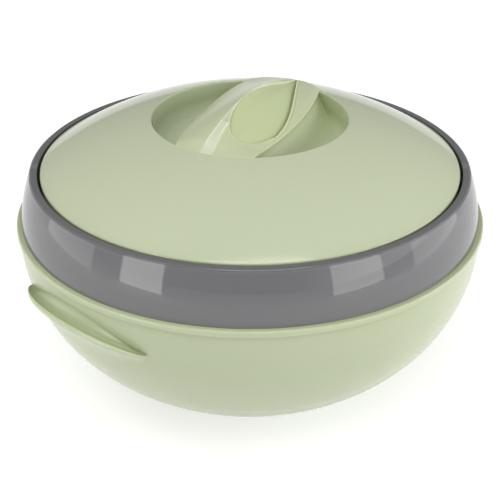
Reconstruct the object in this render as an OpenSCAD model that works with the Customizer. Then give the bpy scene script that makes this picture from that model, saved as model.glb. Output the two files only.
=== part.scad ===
// Thermal serving bowl: a double-walled bowl with a foamed-in food bowl, a
// glossy collar and a domed lid that lifts straight off.
// Millimetres. Z points up, the table is z = 0 and the bowl's axis is the Z
// axis. The two side grips lie on the X axis.

/* [Outer bowl] */
// Diameter over the rim
rim_d = 270; // [240:1:300]
// Height of the rim above the table
rim_h = 103; // [98:1:112]
// How far the rim band stands out from the side
rim_step = 1; // [0.5:0.1:2]
// Height of the rim band
rim_band_h = 4.6; // [3:0.1:8]
// Rounding of the rim's upper edge
rim_round = 1.2; // [0.4:0.1:2]
// How far below the table the curve of the side would reach the axis
side_past = 9; // [6:0.5:16]
// Roundness of the side, 2 is an ellipse
side_curve = 2.3; // [2:0.1:2.8]
// Wall of the outer bowl
bowl_wall = 2.4; // [1.8:0.1:3.2]
// Width of the rim's flat land outside the collar
rim_land = 3.6; // [2:0.1:5]
// Width of the land that carries the collar
collar_land = 2.8; // [2.5:0.1:4]
// Radius of the hole for filling the foam
fill_hole_r = 12; // [8:0.5:18]

/* [Side grips] */
// Width of a grip along the side
grip_w = 98; // [70:1:120]
// How far a grip stands out from the side
grip_reach = 8.6; // [5:0.1:14]
// Drop of the grip's ends below the rim
grip_end_drop = 23; // [18:0.5:30]
// Rise of the grip's root line in the middle
grip_root_rise = 13; // [8:0.5:14]
// Rise of the grip's lip in the middle
grip_lip_rise = 7; // [3:0.5:10]
// Thickness of the grip's lip
grip_lip_t = 3; // [2:0.1:5]
// Height of the grip's underside on the bowl
grip_under_h = 22; // [14:1:30]

/* [Foot] */
// Outer radius of the foot
foot_r = 68; // [55:0.5:72]
// Width of the foot rim
foot_w = 6.5; // [5:0.1:10]
// Height of the bowl's floor above the table
foot_h = 4; // [3.5:0.1:6]
// Thickness of the base plate
base_plate_t = 2; // [1.2:0.1:2.5]
// Width of the soft ring under the foot
pad_w = 3.4; // [2:0.1:4]
// Thickness of the soft ring
pad_t = 3; // [2:0.1:3.2]
// How far the soft ring stands below the foot
pad_proud = 1.5; // [0.8:0.1:2]

/* [Collar] */
// Height of the collar above the rim
collar_h = 28.7; // [25:0.1:34]
// How far the collar leans in from its foot to its top
collar_lean = 6.7; // [4:0.1:8]
// How far the collar's side swells outwards
collar_swell = 1.3; // [0.5:0.1:2.5]
// Width of the collar's top face
collar_top_w = 3.8; // [3:0.1:6]
// Wall of the collar
collar_wall = 2.2; // [1.8:0.1:3]
// Rounding of the collar's top edges
collar_round = 0.8; // [0.3:0.1:1.2]
// Width of the lid's seat
seat_w = 8.3; // [7.5:0.1:12]
// Depth of the lid's seat below the collar's top
seat_depth = 18.2; // [15:0.1:20]
// Thickness of the seat
seat_t = 2.2; // [1.6:0.1:3]
// Depth to which the collar's spigot reaches into the bowl
spigot_h = 7; // [5:0.1:10]
// Thickness of the spigot
spigot_t = 2.2; // [1.6:0.1:3]
// How far the snap bead stands out
snap_bead = 0.9; // [0.4:0.1:1.4]

/* [Food bowl] */
// Thickness of the foam under the food bowl
foam_under = 16.9; // [8:0.1:40]
// How far below its floor the curve of the food bowl would reach the axis
food_past = 9; // [6:0.5:16]
// Roundness of the food bowl's side, 2 is an ellipse
food_curve = 2.3; // [2:0.1:2.8]
// Thickness of the steel
steel_t = 0.8; // [0.5:0.1:1.5]
// Width of the food bowl's flange
flange_w = 7.4; // [5:0.1:8]
// Thickness of the gasket on the flange
gasket_t = 1.2; // [0.8:0.1:2]

/* [Lid] */
// Gap between the lid and the collar
lid_gap = 1.5; // [0.8:0.1:2.5]
// Radius of the dome
dome_r = 225; // [200:1:260]
// Rounding of the lid's edge
lid_edge_round = 1.6; // [0.8:0.1:2.2]
// Wall of the lid's cover
lid_wall = 2.4; // [1.8:0.1:3]
// How far the lid's skirt stays above the seat
skirt_gap = 3; // [2:0.1:5]
// Radius of the well in the lid
well_r = 55.2; // [50:0.1:60]
// Depth of the well below its rim
well_depth = 16; // [13:0.1:18]
// Rounding at the foot of the well's wall
well_fillet = 4; // [2:0.1:5]
// Rounding of the well's rim
well_lip = 1.1; // [0.5:0.1:1.6]
// How far the well's wall draws in on the way down
well_draft = 1; // [0.5:0.1:2]

/* [Lid handle] */
// Length of the crest between the points where it would meet the rim's level
crest_l = 114; // [113:0.5:130]
// Height of the crest above the well's rim
crest_h = 13.9; // [9:0.1:18]
// Turn of the handle from the line through the side grips
handle_turn = 22; // [0:1:45]
// Turn of the crest against the handle
crest_turn = -5.5; // [-8:0.5:0]
// Width of the handle in the middle
handle_mid_w = 57.8; // [52:0.1:62]
// Width of the handle at its ends
handle_end_w = 45; // [40:0.1:50]
// Width of the flat band beside the crest
band_w = 4.6; // [3:0.1:7]
// Fall of the flat band to its outer edge
band_fall = 0.6; // [0.2:0.1:1]
// Swell of the plain flank
flank_swell = 0.8; // [0:0.1:1.5]
// Wall of the handle
handle_wall = 3; // [2.6:0.1:3.6]
// Length of the leaf-shaped grip panel
panel_l = 92; // [80:1:94]
// Width of the grip panel
panel_w = 25.4; // [20:0.1:27]
// Distance of the panel's round end from the middle of the handle
panel_start = 42; // [38:0.5:43]
// Distance of the panel's middle line from the middle of the handle
panel_side = 11.2; // [10:0.1:13]
// Thickness of the grip panel
panel_t = 1.2; // [0.8:0.1:1.4]
// How far the grip panel lies below the flank
panel_sink = 0.5; // [0.2:0.1:0.7]
// Distance of the two screws from the middle of the handle
screw_out = 24; // [18:0.5:30]
// Radius of the screws' shanks
screw_r = 1.5; // [1.2:0.1:2]
// Length of the screws' shanks
screw_l = 14; // [10:0.5:16]
// Radius of the screws' heads
screw_head_r = 3.2; // [2.6:0.1:4]
// Height of the screws' heads
screw_head_h = 2; // [1.4:0.1:2.6]
// Radius of the bosses that take the screws
boss_r = 4.4; // [3.4:0.1:5]

/* [Inside of the lid] */
// Gap between the lid's plug and the food bowl
plug_gap = 3.6; // [2:0.1:6]
// Depth of the plug below the lid's seal
plug_depth = 8.5; // [5:0.1:14]
// Wall of the lid's liner
liner_t = 1.6; // [1.2:0.1:2.4]
// Thickness of the lid's seal
seal_t = 3.2; // [2:0.1:4.5]
// Radius of the hole for filling the lid's foam
lid_fill_r = 9; // [6:0.5:12]
// Thickness of the plug buttons
button_t = 1.6; // [1:0.1:2.4]

/* [Fits] */
// Clearance between pieces that are assembled and stay together
fit_gap = 0.2; // [0.1:0.05:0.4]
// Clearance under the lid's seal
seat_gap = 0.3; // [0.2:0.05:0.5]

/* [Hidden] */
$fn = 96;

// Number of steps in the long curves of a section and in a small rounding
curve_steps = 30;
round_steps = 5;
// How far a cutting shape runs past what it cuts
overrun = 1;

bowl_green = [0.72, 0.77, 0.60];
collar_grey = [0.45, 0.45, 0.46];
steel_grey = [0.78, 0.78, 0.78];
foam_cream = [0.93, 0.89, 0.74];
seal_white = [0.90, 0.90, 0.88];
pad_grey = [0.35, 0.36, 0.36];

// Radii and heights that several pieces share
rim_r = rim_d / 2;
side_depth = rim_h + side_past;
side_r = rim_r - rim_step;
collar_foot_r = rim_r - rim_land;
bowl_mouth_r = collar_foot_r - collar_land;
collar_top_r = collar_foot_r - collar_lean;
collar_top = rim_h + collar_h;
throat_r = collar_top_r - collar_top_w;
seat_z = collar_top - seat_depth;
seat_in_r = throat_r - seat_w;
food_r = seat_in_r - 2 * steel_t;
brim_z = seat_z - seat_t - gasket_t;
food_depth = brim_z - foot_h - bowl_wall - foam_under - steel_t;
food_curve_depth = food_depth + food_past;
flange_r = food_r + flange_w;
spigot_out_r = bowl_mouth_r - fit_gap;
spigot_in_r = spigot_out_r - spigot_t;
spigot_z = rim_h - spigot_h;
lid_r = throat_r - lid_gap;
dome_z = collar_top - sqrt(pow(dome_r, 2) - pow(lid_r, 2));
well_z = dome_z + sqrt(pow(dome_r, 2) - pow(well_r, 2));
well_floor_z = well_z - well_depth;
skirt_z = seat_z + skirt_gap;
plug_r = food_r - plug_gap;
seal_z = seat_z + seat_gap;
liner_flange_z = seal_z + seal_t;
liner_z = seal_z - plug_depth;

// Radius of a bowl's curve at a drop below its top: a rounded ellipse
function curve_r(r, depth, power, drop) = r * sqrt(1 - pow(min(max(drop / depth, 0), 1), power));

// Points of a bowl's curve between two drops, with its top at top_z
function curve_points(r, depth, power, from, to, top_z) =
    [for (i = [0 : curve_steps])
        let (drop = from + (to - from) * i / curve_steps)
        [curve_r(r, depth, power, drop), top_z - drop]];

// Points of an arc about a centre, between two angles
function arc_points(centre, r, from, to) =
    [for (i = [0 : round_steps])
        let (a = from + (to - from) * i / round_steps)
        centre + r * [cos(a), sin(a)]];

function reversed(list) = [for (i = [len(list) - 1 : -1 : 0]) list[i]];

// Ring with a rectangular section
module ring(inner, outer, low, high) {
    rotate_extrude()
        polygon([[inner, low], [outer, low], [outer, high], [inner, high]]);
}

// Disc on the axis
module disc(r, low, high) {
    translate([0, 0, low])
        cylinder(r = r, h = high - low);
}

// Side grips: a crescent ledge whose root and lip both arch up in the middle.
// A section stands in the plane through the axis at each angle.
grip_half_angle = asin(grip_w / 2 / side_r);
grip_sections = 22;
grip_back_steps = 4;
grip_lip_r = grip_lip_t / 2;
function grip_swell(t) = sqrt(max(1 - t * t, 0));
function grip_side_r(z) = curve_r(side_r, side_depth, side_curve, rim_h - z);
function grip_point(r, a, z) = [r * cos(a), r * sin(a), z];
function grip_section(t) =
    let (
        a = t * grip_half_angle,
        reach = grip_reach * grip_swell(t) - bowl_wall / 8,
        root_z = rim_h - grip_end_drop + grip_root_rise * (1 - t * t),
        lip_z = rim_h - grip_end_drop + grip_lip_rise * (1 - t * t) - grip_lip_r,
        foot_z = lip_z - grip_lip_r - grip_under_h * grip_swell(t) - grip_lip_t,
        lip_r = max(min(grip_lip_r, reach / 2), bowl_wall / 8),
        lip_at = grip_side_r(lip_z) + reach - lip_r,
        sunk = bowl_wall / 2,
        root_r = grip_side_r(root_z),
        fall = (root_z - lip_z - lip_r) / max(lip_at - root_r, grip_lip_t)
    )
    [
        grip_point(root_r - sunk, a, root_z + sunk * fall),
        grip_point(lip_at, a, lip_z + lip_r),
        grip_point(lip_at + lip_r * cos(45), a, lip_z + lip_r * sin(45)),
        grip_point(lip_at + lip_r, a, lip_z),
        grip_point(lip_at + lip_r * cos(45), a, lip_z - lip_r * sin(45)),
        grip_point((lip_at + grip_side_r(foot_z)) / 2, a, (lip_z * 2 + foot_z) / 3),
        for (k = [0 : grip_back_steps - 1])
            let (z = foot_z + (root_z - foot_z) * k / grip_back_steps)
            grip_point(grip_side_r(z) - sunk, a, z)
    ];
module side_grip() {
    sections = [for (i = [0 : grip_sections]) grip_section(2 * i / grip_sections - 1)];
    n = len(sections[0]);
    polyhedron(
        points = [for (s = sections) each s],
        faces = concat(
            [[for (j = [0 : n - 1]) j]],
            [[for (j = [n - 1 : -1 : 0]) grip_sections * n + j]],
            [for (i = [0 : grip_sections - 1], j = [0 : n - 1])
                let (k = (j + 1) % n, a = i * n, b = a + n)
                each [[a + j, b + j, b + k], [a + j, b + k, a + k]]]
        ));
}

// Outer bowl with its rim, foot rim and both grips in one moulding
module outer_bowl() {
    floor_drop = rim_h - foot_h;
    inner_r = side_r - bowl_wall;
    inner_depth = side_depth - bowl_wall;
    color(bowl_green)
    difference() {
        union() {
            rotate_extrude()
                polygon(concat(
                    [[0, foot_h]],
                    reversed(curve_points(side_r, side_depth, side_curve, rim_band_h, floor_drop, rim_h)),
                    [[rim_r, rim_h - rim_band_h]],
                    arc_points([rim_r - rim_round, rim_h - rim_round], rim_round, 0, 90),
                    [[bowl_mouth_r, rim_h], [bowl_mouth_r, rim_h - bowl_wall]],
                    curve_points(inner_r, inner_depth, side_curve, bowl_wall, floor_drop - bowl_wall, rim_h),
                    [[0, foot_h + bowl_wall]]
                ));
            ring(foot_r - foot_w, foot_r, pad_proud, foot_h + bowl_wall / 2);
            for (a = [0, 180])
                rotate(a)
                    side_grip();
        }
        disc(fill_hole_r, foot_h - overrun, foot_h + bowl_wall + overrun);
        ring(pad_in_r, pad_out_r, pad_proud - overrun, pad_t);
    }
}

// Soft ring in the groove of the foot, which stands on the table
pad_mid_r = foot_r - foot_w / 2;
pad_in_r = pad_mid_r - pad_w / 2;
pad_out_r = pad_mid_r + pad_w / 2;
module foot_ring() {
    color(pad_grey)
        ring(pad_in_r, pad_out_r, 0, pad_t);
}

// Base plate that covers the filling hole inside the foot rim
module base_plate() {
    color(bowl_green)
        disc(foot_r - foot_w - fit_gap, foot_h - base_plate_t, foot_h);
}

// Button that closes the filling hole of the bowl
module fill_plug() {
    color(seal_white)
        disc(fill_hole_r - fit_gap, foot_h, foot_h + bowl_wall + button_t);
}

// Rigid foam between the two bowls, up to the food bowl's flange
module bowl_insulation() {
    skin = bowl_wall + fit_gap;
    food_skin = steel_t + fit_gap;
    shoulder_z = brim_z - food_skin;
    color(foam_cream)
    difference() {
        rotate_extrude()
            polygon(concat(
                [[0, foot_h + skin]],
                reversed(curve_points(side_r - skin, side_depth - skin, side_curve,
                                      spigot_h + fit_gap, rim_h - foot_h - skin, rim_h)),
                [[spigot_in_r - fit_gap, spigot_z - fit_gap],
                 [spigot_in_r - fit_gap, rim_h],
                 [flange_r, shoulder_z]],
                curve_points(food_r + food_skin, food_curve_depth + food_skin, food_curve,
                             food_skin, food_depth + food_skin, brim_z),
                [[0, brim_z - food_depth - food_skin]]
            ));
        disc(fill_hole_r, foot_h, foot_h + bowl_wall + button_t + fit_gap);
    }
}

// Steel food bowl with a flat flange
module food_bowl() {
    color(steel_grey)
    rotate_extrude()
        polygon(concat(
            [[0, brim_z - food_depth]],
            reversed(curve_points(food_r, food_curve_depth, food_curve, 0, food_depth, brim_z)),
            [[flange_r, brim_z], [flange_r, brim_z - steel_t]],
            curve_points(food_r + steel_t, food_curve_depth + steel_t, food_curve,
                         steel_t, food_depth + steel_t, brim_z),
            [[0, brim_z - food_depth - steel_t]]
        ));
}

// Gasket between the food bowl's flange and the collar's seat
module flange_gasket() {
    color(seal_white)
        ring(seat_in_r, flange_r, brim_z, brim_z + gasket_t);
}

// Outer face of the collar: it leans in and swells a little
function collar_side_r(z) =
    let (t = (z - rim_h) / collar_h)
    collar_foot_r - collar_lean * t + collar_swell * 4 * t * (1 - t);
collar_shoulder_h = spigot_h;
collar_crotch_h = collar_h - 3 * collar_wall;

// Glossy collar: side, top face, throat, seat for the lid and a spigot that
// snaps under the bowl's rim
module collar_ring() {
    wall_in_r = throat_r + collar_wall;
    color(collar_grey)
    rotate_extrude()
        polygon(concat(
            [for (i = [0 : curve_steps])
                let (z = rim_h + (collar_h - collar_round) * i / curve_steps)
                [collar_side_r(z), z]],
            arc_points([collar_top_r - collar_round, collar_top - collar_round], collar_round, 30, 90),
            arc_points([throat_r + collar_round, collar_top - collar_round], collar_round, 90, 180),
            [[throat_r, seat_z], [seat_in_r, seat_z], [seat_in_r, seat_z - seat_t],
             [wall_in_r, seat_z - seat_t],
             [wall_in_r, rim_h + collar_crotch_h - collar_wall]],
            [for (i = [curve_steps : -1 : 0])
                let (z = rim_h + collar_shoulder_h
                         + (collar_crotch_h - collar_shoulder_h) * i / curve_steps)
                [max(collar_side_r(z) - collar_wall, wall_in_r), z]],
            [[spigot_in_r, rim_h + collar_wall],
             [spigot_in_r, spigot_z],
             [spigot_out_r, spigot_z],
             [spigot_out_r + snap_bead, rim_h - bowl_wall - 2 * fit_gap],
             [spigot_out_r + snap_bead, rim_h - bowl_wall - fit_gap],
             [spigot_out_r, rim_h - bowl_wall - fit_gap],
             [spigot_out_r, rim_h]]
        ));
}

// Height of the dome's outer face at a radius, and of a face below it by inset
function dome_height(r, inset) = dome_z + sqrt(pow(dome_r - inset, 2) - pow(r, 2));
function dome_points(from, to, inset) =
    [for (i = [0 : curve_steps])
        let (r = from + (to - from) * i / curve_steps)
        [r, dome_height(r, inset)]];

// Places of the two screws under the handle
module at_screws() {
    for (side = [-1, 1])
        rotate(handle_turn)
            translate([side * screw_out, 0, 0])
                children();
}

// Domed cover with its skirt and the well for the handle
edge_slope = asin(lid_r / dome_r);
module lid_cover() {
    edge_r = lid_r - lid_edge_round;
    edge_on_r = edge_r + lid_edge_round * sin(edge_slope);
    edge_z = dome_height(edge_on_r, 0) - lid_edge_round * cos(edge_slope);
    low_r = well_r - well_draft;
    in_r = lid_r - lid_wall;
    color(bowl_green)
    difference() {
        rotate_extrude()
            polygon(concat(
                [[0, well_floor_z]],
                arc_points([low_r - well_fillet, well_floor_z + well_fillet], well_fillet, -90, 0),
                arc_points([well_r + well_lip, well_z - well_lip], well_lip, 180, 90),
                dome_points(well_r + 2 * well_lip, edge_on_r, 0),
                arc_points([edge_r, edge_z], lid_edge_round, 90 - edge_slope, 0),
                [[lid_r, skirt_z], [in_r, skirt_z]],
                reversed(dome_points(well_r + lid_wall, in_r, lid_wall)),
                [[low_r + lid_wall, well_floor_z + well_fillet],
                 [low_r - well_fillet + lid_wall, well_floor_z - lid_wall],
                 [0, well_floor_z - lid_wall]]
            ));
        at_screws()
            disc(screw_r + 2 * fit_gap, well_floor_z - lid_wall - overrun, well_floor_z + overrun);
    }
}

// Handle: a hollow ridge across the well. u runs along it, v across it, and
// heights count from the well's rim. The crest is an arch that runs askew.
bar_end_r = well_r - well_draft - 2 * fit_gap;
function crest_v(u) = -u * tan(crest_turn);
function crest_z(u) = crest_h * (1 - pow(2 * u / crest_l, 2));
function half_w(u) = handle_mid_w / 2 - (handle_mid_w - handle_end_w) / 2 * pow(u / well_r, 2);

// The side of v is reversed, so that the flat band and the grip panel lie on -Y
function ridge_z(u, v) =
    let (c = crest_v(u), z = crest_z(u), w = half_w(u), d = v - c)
    d < 0 ? let (t = -d / (w + c)) z * (1 - t) + flank_swell * 4 * t * (1 - t) :
    d < band_w ? z - band_fall * z / crest_h * d / band_w :
    (z - band_fall * z / crest_h) * (w - v) / (w - c - band_w);

// Surface of the grip panel: straight from the crest to the handle's edge
function panel_z(u, v) =
    let (c = crest_v(u), w = half_w(u))
    crest_z(u) * (w - v) / (w - c) - panel_sink;

// Columns across the ridge: the plain flank, the band and the other flank
flank_steps = 5;
ridge_steps = 24;
columns = 2 * flank_steps + 1;
function column_v(u, j, inset) =
    let (c = crest_v(u), w = half_w(u) - inset)
    j <= flank_steps ? -w + (w + c) * j / flank_steps
                     : c + band_w + (w - c - band_w) * (j - flank_steps - 1) / flank_steps;
function ridge_uv(i, j, inset, end_r) =
    let (
        p = 2 * i / ridge_steps - 1,
        end_v = column_v(sign(p) * end_r, j, inset),
        u = p * sqrt(pow(end_r, 2) - pow(end_v, 2))
    )
    [u, column_v(u, j, inset)];

// Closed ridge over the well's floor, which draws in below its knee to clear
// the rounding of the well. inset and drop make the hollow inside.
module ridge(inset, drop, end_r, foot_end_r, low_z) {
    knee_z = well_floor_z + well_fillet;
    rows = ridge_steps + 1;
    cols = columns + 1;
    top = [for (i = [0 : ridge_steps], j = [0 : columns])
        let (
            q = ridge_uv(i, j, inset, end_r),
            z = drop > 0 ? min(ridge_z(q[0], q[1]), panel_z(q[0], q[1])) : ridge_z(q[0], q[1])
        )
        [q[0], -q[1], well_z + z - drop]];
    edge = concat(
        [for (i = [0 : ridge_steps]) [i, 0]],
        [for (j = [1 : columns]) [ridge_steps, j]],
        [for (i = [ridge_steps - 1 : -1 : 0]) [i, columns]],
        [for (j = [columns - 1 : -1 : 1]) [0, j]]);
    knee = [for (e = edge)
        let (q = ridge_uv(e[0], e[1], inset, end_r))
        [q[0], -q[1], knee_z]];
    foot = [for (e = edge)
        let (q = ridge_uv(e[0], e[1], inset, foot_end_r))
        [q[0], -q[1], low_z]];
    n = len(edge);
    base = rows * cols;
    polyhedron(
        points = concat(top, knee, foot, [[0, band_w, low_z]]),
        faces = concat(
            [for (i = [0 : ridge_steps - 1], j = [0 : columns - 1])
                let (a = i * cols + j, b = a + cols)
                each [[a, b + 1, a + 1], [a, b, b + 1]]],
            [for (m = [0 : n - 1])
                let (
                    k = (m + 1) % n,
                    a = edge[m][0] * cols + edge[m][1],
                    b = edge[k][0] * cols + edge[k][1]
                )
                each [[a, base + k, b], [a, base + m, base + k]]],
            [for (m = [0 : n - 1])
                let (k = (m + 1) % n, a = base + m, b = base + k)
                each [[a, b + n, b], [a, a + n, b + n], [a + n, base + 2 * n, b + n]]]
        ));
}

// Leaf outline of the grip panel: round at one end, pointed at the other
panel_rows = 22;
panel_columns = 6;
leaf_width_share = 2.88;
leaf_round_share = 0.5;
leaf_point_share = 1.3;
leaf_lean_share = 0.04;
function leaf_half_w(x) =
    panel_w / 2 * leaf_width_share * pow(x, leaf_round_share) * pow(1 - x, leaf_point_share);

// Plate that follows the panel's surface, grown all round by grow, between
// two heights counted from that surface
module leaf(grow, low, high) {
    end_share = 0.012;
    grid = [for (i = [0 : panel_rows], j = [0 : panel_columns])
        let (
            x = end_share + (1 - 2 * end_share) * pow(sin(90 * i / panel_rows), 2),
            y = 2 * j / panel_columns - 1,
            middle = panel_l / 2 - panel_start,
            u = middle + (panel_l / 2 + grow) * (2 * x - 1),
            v = panel_side - leaf_lean_share * u + y * (leaf_half_w(x) + grow)
        )
        [u, v]];
    cols = panel_columns + 1;
    n = len(grid);
    last = panel_rows * cols;
    edge = concat(
        [for (i = [0 : panel_rows]) i * cols],
        [for (j = [1 : panel_columns]) last + j],
        [for (i = [panel_rows - 1 : -1 : 0]) i * cols + panel_columns],
        [for (j = [panel_columns - 1 : -1 : 1]) j]);
    polyhedron(
        points = concat(
            [for (q = grid) [q[0], -q[1], well_z + panel_z(q[0], q[1]) + high]],
            [for (q = grid) [q[0], -q[1], well_z + panel_z(q[0], q[1]) + low]]),
        faces = concat(
            [for (i = [0 : panel_rows - 1], j = [0 : panel_columns - 1])
                let (a = i * cols + j, b = a + cols)
                each [[a, b + 1, a + 1], [a, b, b + 1]]],
            [for (i = [0 : panel_rows - 1], j = [0 : panel_columns - 1])
                let (a = n + i * cols + j, b = a + cols)
                each [[a, a + 1, b + 1], [a, b + 1, b]]],
            [for (m = [0 : len(edge) - 1])
                let (a = edge[m], b = edge[(m + 1) % len(edge)])
                each [[a, b + n, b], [a, a + n, b + n]]]
        ));
}

module handle_bar() {
    bar_foot_r = bar_end_r - well_fillet;
    hollow_end_r = bar_foot_r - handle_wall;
    boss_drop = (handle_wall + panel_t + fit_gap) / 2;
    color(bowl_green)
    rotate(handle_turn)
    difference() {
        union() {
            difference() {
                ridge(0, 0, bar_end_r, bar_foot_r, well_floor_z);
                ridge(handle_wall, handle_wall, hollow_end_r, hollow_end_r, well_floor_z - overrun);
            }
            intersection() {
                ridge(0, boss_drop, bar_end_r, bar_foot_r, well_floor_z);
                for (side = [-1, 1])
                    translate([side * screw_out, 0, well_floor_z])
                        cylinder(r = boss_r, h = well_depth + crest_h);
            }
        }
        leaf(fit_gap, -panel_t - fit_gap, crest_h);
        for (side = [-1, 1])
            translate([side * screw_out, 0, well_floor_z - overrun])
                cylinder(r = screw_r + fit_gap / 2, h = screw_l + overrun);
    }
}

// Leaf-shaped panel let into the flank of the handle
module grip_panel() {
    color(bowl_green)
    rotate(handle_turn)
        leaf(0, -panel_t, 0);
}

// Two screws that hold the handle from below
module handle_screws() {
    color(steel_grey)
    at_screws() {
        disc(screw_head_r, well_floor_z - lid_wall - screw_head_h, well_floor_z - lid_wall);
        disc(screw_r, well_floor_z - lid_wall, well_floor_z - lid_wall + screw_l);
    }
}

// Rigid foam between the cover and the liner of the lid
module lid_insulation() {
    skin = lid_wall + fit_gap;
    low_r = well_r - well_draft + skin;
    color(foam_cream)
    difference() {
        rotate_extrude()
            polygon(concat(
                [[0, well_floor_z - skin],
                 [low_r - well_fillet, well_floor_z - skin],
                 [low_r, well_floor_z + well_fillet],
                 [well_r + skin, well_floor_z + 2 * well_fillet]],
                dome_points(well_r + skin, lid_r - skin, skin),
                [[lid_r - skin, liner_flange_z + liner_t + fit_gap],
                 [plug_r - liner_t - fit_gap, liner_flange_z + liner_t + fit_gap],
                 [plug_r - liner_t - fit_gap, liner_z + liner_t + fit_gap],
                 [0, liner_z + liner_t + fit_gap]]
            ));
        at_screws()
            disc(screw_head_r + fit_gap, well_floor_z - skin - screw_head_h, well_floor_z);
        disc(lid_fill_r, liner_z, liner_z + liner_t + button_t + fit_gap);
    }
}

// Liner that closes the lid from below and dips into the food bowl
module lid_liner() {
    flange_out_r = lid_r - lid_wall - fit_gap;
    color(seal_white)
    difference() {
        rotate_extrude()
            polygon(concat(
                [[0, liner_z]],
                arc_points([plug_r - liner_t, liner_z + liner_t], liner_t, -90, 0),
                [[plug_r, liner_flange_z],
                 [flange_out_r, liner_flange_z],
                 [flange_out_r, liner_flange_z + liner_t],
                 [plug_r - liner_t, liner_flange_z + liner_t],
                 [plug_r - liner_t, liner_z + liner_t],
                 [0, liner_z + liner_t]]
            ));
        disc(lid_fill_r, liner_z - overrun, liner_z + liner_t + overrun);
    }
}

// Soft seal under the liner's flange, with a groove between its two lips
module lid_seal() {
    inner = plug_r + fit_gap;
    outer = lid_r - lid_wall - 2 * fit_gap;
    middle = (max(inner, seat_in_r) + outer) / 2;
    color(seal_white)
    rotate_extrude()
        polygon([
            [inner, liner_flange_z],
            [inner, seal_z + seal_t / 2],
            [seat_in_r + fit_gap, seal_z],
            [middle - seal_t / 4, seal_z],
            [middle, seal_z + seal_t / 3],
            [middle + seal_t / 4, seal_z],
            [outer, seal_z],
            [outer, liner_flange_z]
        ]);
}

// Button that closes the filling hole of the lid
module lid_fill_plug() {
    color(seal_white)
        disc(lid_fill_r - fit_gap, liner_z, liner_z + liner_t + button_t);
}

outer_bowl();
base_plate();
fill_plug();
foot_ring();
bowl_insulation();
food_bowl();
flange_gasket();
collar_ring();
lid_cover();
handle_bar();
grip_panel();
handle_screws();
lid_insulation();
lid_liner();
lid_seal();
lid_fill_plug();
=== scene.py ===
# %% [markdown]
# # A thermal serving bowl
# The bowl is a double-walled plastic bowl with a glossy collar and a domed lid.
# The measured solids come in first, as a fixed frame in metres. Every piece
# that the eye rests on is then made again in a finer form, in the same place,
# and the solids behind it stay for the collision model.

# %% Load the measured solids
from math import asin, cos, degrees, pi, radians, sin, sqrt, tan

import bmesh
import bpy
import numpy as np
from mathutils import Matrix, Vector


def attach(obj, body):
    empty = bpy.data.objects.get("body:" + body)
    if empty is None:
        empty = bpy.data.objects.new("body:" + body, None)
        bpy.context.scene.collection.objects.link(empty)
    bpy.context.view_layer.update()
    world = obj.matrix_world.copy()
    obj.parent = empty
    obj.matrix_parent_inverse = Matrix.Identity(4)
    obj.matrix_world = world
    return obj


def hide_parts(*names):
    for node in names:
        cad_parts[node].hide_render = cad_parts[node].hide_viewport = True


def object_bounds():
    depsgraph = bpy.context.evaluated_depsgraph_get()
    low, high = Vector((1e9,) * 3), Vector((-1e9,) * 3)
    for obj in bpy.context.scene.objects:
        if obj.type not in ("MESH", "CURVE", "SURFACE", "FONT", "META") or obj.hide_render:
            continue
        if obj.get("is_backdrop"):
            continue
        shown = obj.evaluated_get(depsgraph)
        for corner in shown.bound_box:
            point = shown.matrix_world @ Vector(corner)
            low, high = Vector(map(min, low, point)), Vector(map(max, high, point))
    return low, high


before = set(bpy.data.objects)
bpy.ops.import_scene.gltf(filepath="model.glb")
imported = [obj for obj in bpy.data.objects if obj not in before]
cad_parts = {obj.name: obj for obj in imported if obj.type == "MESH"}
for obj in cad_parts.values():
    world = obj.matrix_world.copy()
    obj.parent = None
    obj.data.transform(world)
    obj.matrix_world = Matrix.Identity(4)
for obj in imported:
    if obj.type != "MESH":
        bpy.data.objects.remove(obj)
cad_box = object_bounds()

# %% [markdown]
# ## Sizes
# These are the sizes of the solids, in millimetres, because a maker thinks in
# millimetres. The rim band and the collar's two radii were read again from the
# photograph's lines and differ from the solids by less than a millimetre.
# Blender works in metres here, so each mesh is scaled by MM once, when its
# points are written.

# %% Shared sizes
MM = 0.001
RIM_R, RIM_H, RIM_BAND, RIM_ROUND, BAND_ROUND = 135.0, 103.0, 3.7, 1.2, 0.5
SIDE_R, SIDE_DEPTH, SIDE_POWER, WALL = 134.0, 112.0, 2.3, 2.4
MOUTH_R, COLLAR_FOOT_R, COLLAR_TOP_R, COLLAR_TOP = 128.6, 132.1, 125.1, 131.7
THROAT_R, SEAT_Z, SEAT_IN_R = 120.9, 113.5, 112.6
FOOT_R, FOOT_W, FOOT_H, FOOT_BEVEL, HOLE_R = 68.0, 6.5, 4.0, 0.5, 12.0
PAD_IN, PAD_OUT, PAD_T, PAD_PROUD = 63.05, 66.45, 3.0, 1.5
LID_R, LID_WALL, DOME_R, WELL_R, WELL_DEPTH = 119.4, 2.4, 225.0, 55.2, 16.0
DOME_Z = COLLAR_TOP - sqrt(DOME_R**2 - LID_R**2)
WELL_Z = DOME_Z + sqrt(DOME_R**2 - WELL_R**2)
FLOOR_Z = WELL_Z - WELL_DEPTH
HANDLE_TURN = radians(22.0)
print("well rim at %.2f mm, well floor at %.2f mm" % (WELL_Z, FLOOR_Z))

# %% [markdown]
# ## Camera
# The photograph was taken from about 30 degrees above the table, with one side
# grip turned 45 degrees to the camera's left. Its lens was found from the
# ellipses of the rim, the collar and the lid: 79 mm on a 36 mm wide picture.

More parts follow.
